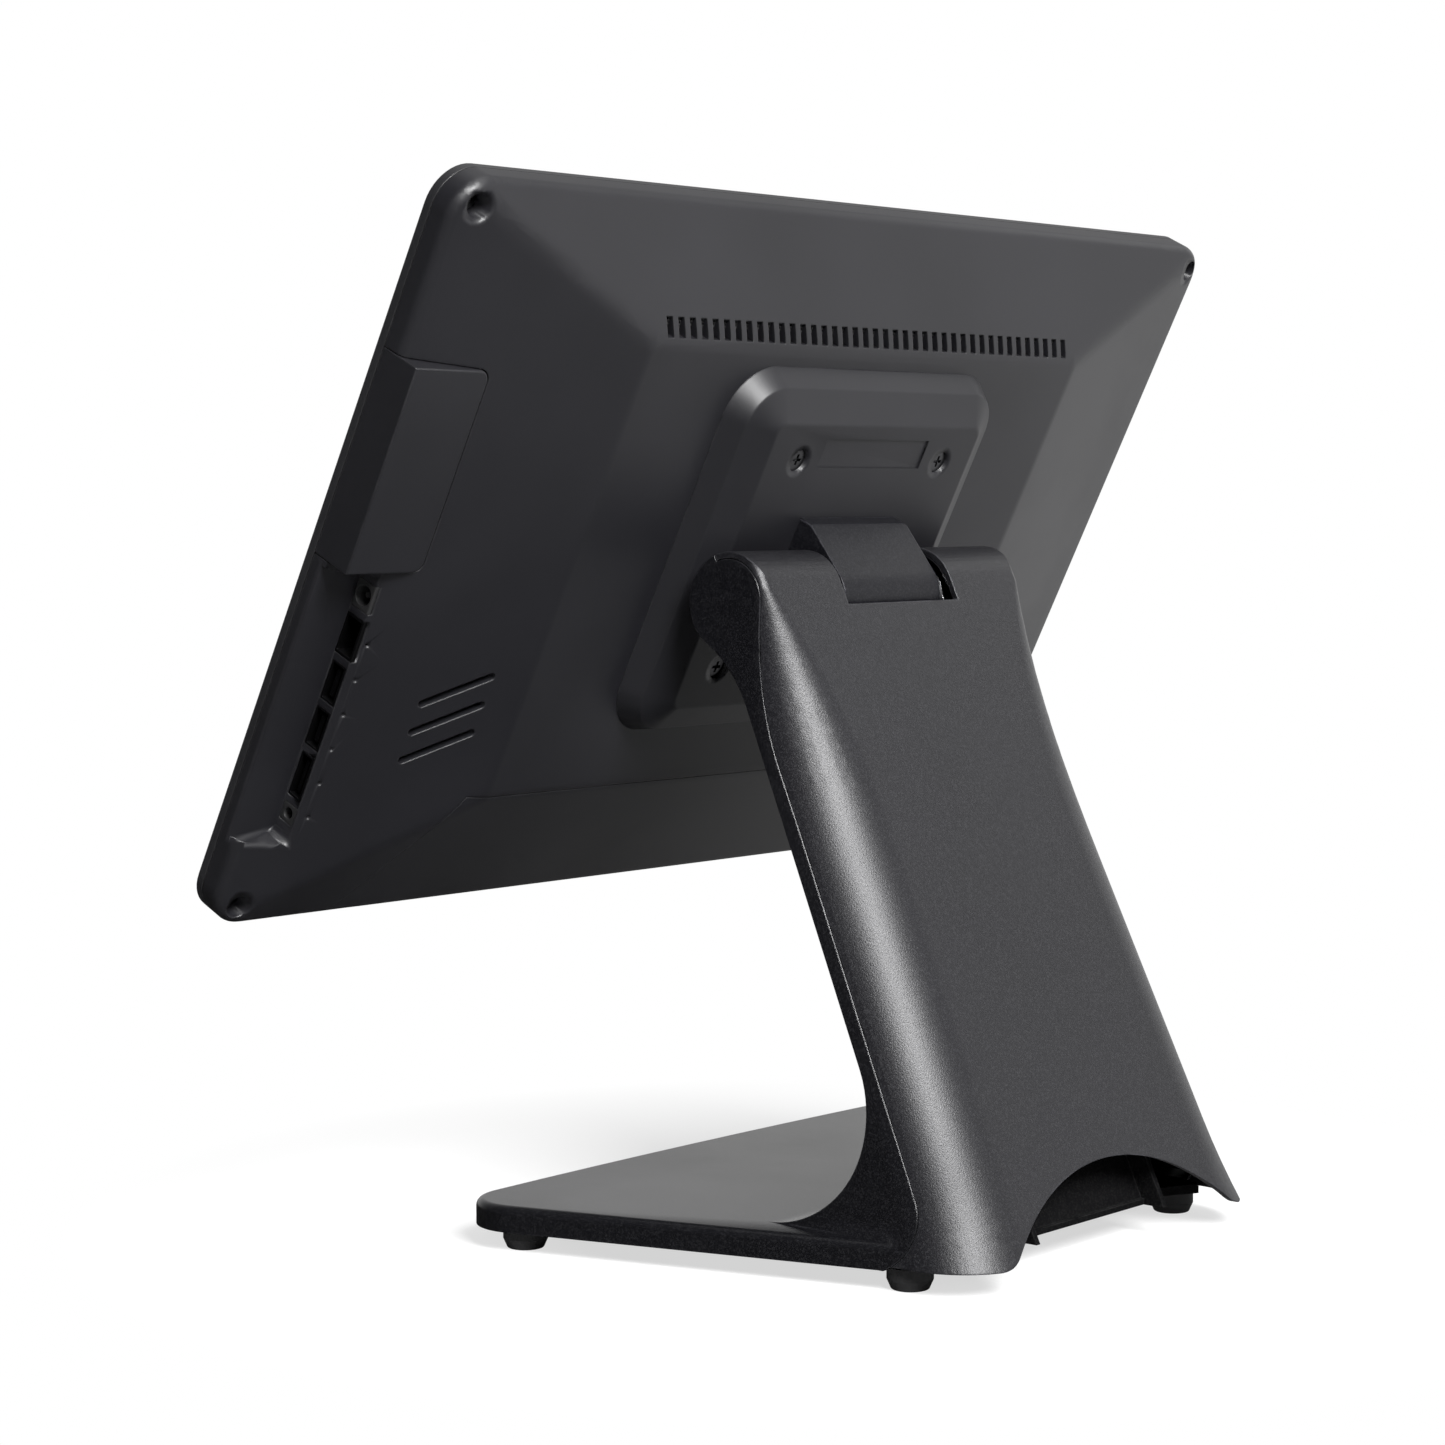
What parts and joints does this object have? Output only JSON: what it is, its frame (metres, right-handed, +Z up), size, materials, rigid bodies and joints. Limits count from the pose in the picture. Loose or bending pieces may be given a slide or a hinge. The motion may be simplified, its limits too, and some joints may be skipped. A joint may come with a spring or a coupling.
{
  "type": "pos touchscreen terminal",
  "caption": "Countertop touchscreen terminal: wide slim head with ports and covers, tilting on a friction hinge atop a leaning column with a flat foot on rubber pads.",
  "frame": {"origin": "on the counter under the middle of the object's box", "axes": "+Z up, the screen faces -Y, +X on the right of a person facing the screen; the ports are on the +X side"},
  "size_m": [0.3886, 0.2185, 0.3335],
  "materials": {
    "cover_plastic": "fine satin grain",
    "plate_plastic": "fine satin grain",
    "bezel_plastic": "fine satin grain",
    "screen_glass": "gloss black border and dark screen",
    "foam": "closed-cell foam",
    "panel": "gloss",
    "zinc_steel": "zinc plate",
    "brass_parts": "turned",
    "circuit_board": "solder mask",
    "cooler_metal": "extruded",
    "speaker_plastic": "moulded",
    "button_plastic": "satin",
    "black_screws": "black oxide",
    "tongue_paint": "satin paint",
    "hinge_steel": "ground",
    "port_plastic": "moulded",
    "port_metal": "tin plate",
    "shell_paint": "satin metallic paint",
    "body_paint": "satin paint",
    "base_paint": "matt powder coat",
    "foot_rubber": "matt"
  },
  "bodies": {
    "stand": {"column_shell": "shell_paint", "stand_body": "body_paint", "base_plate": "base_paint", "foot_weight": "zinc_steel", "rubber_feet": "foot_rubber", "base_screws": "zinc_steel", "spine": "base_paint", "hinge_brackets": "hinge_steel", "bracket_screws": "zinc_steel"},
    "display": {"audio_jack": "port_plastic", "board_standoffs": "brass_parts", "bottom_cover": "cover_plastic", "button_switch": "speaker_plastic", "chassis": "zinc_steel", "friction_washers": "hinge_steel", "front_bezel": "bezel_plastic", "head_bracket": "hinge_steel", "heat_sink": "cooler_metal", "hinge_cover": "tongue_paint", "hinge_nuts": "zinc_steel", "hinge_shafts": "hinge_steel", "housing_screws": "black_screws", "lan_port": "port_metal", "lcd_panel": "panel", "mainboard": "circuit_board", "panel_gasket": "foam", "plate_cover": "plate_plastic", "plate_screws": "black_screws", "port_board": "circuit_board", "power_inlet": "port_plastic", "rear_cover": "cover_plastic", "side_cover": "cover_plastic", "speakers": "speaker_plastic", "steel_plate": "zinc_steel", "touch_glass": "screen_glass", "usb_ports": "port_metal", "video_port": "port_metal"},
    "button": {"power_button": "button_plastic"}
  },
  "joints": [
    {"name": "display_tilt", "type": "hinge", "parent": "stand", "child": "display", "pos_m": [0, 0.0026, 0.2058], "axis": [-1, 0, 0], "range_deg": [-26, 40]},
    {"name": "power_press", "type": "slide", "parent": "display", "child": "button", "axis": [0, 0.4478, 0.8942], "range_m": [0, 0.0008], "stiffness_N_per_m": 800, "springref_m": -0.0005}
  ]
}
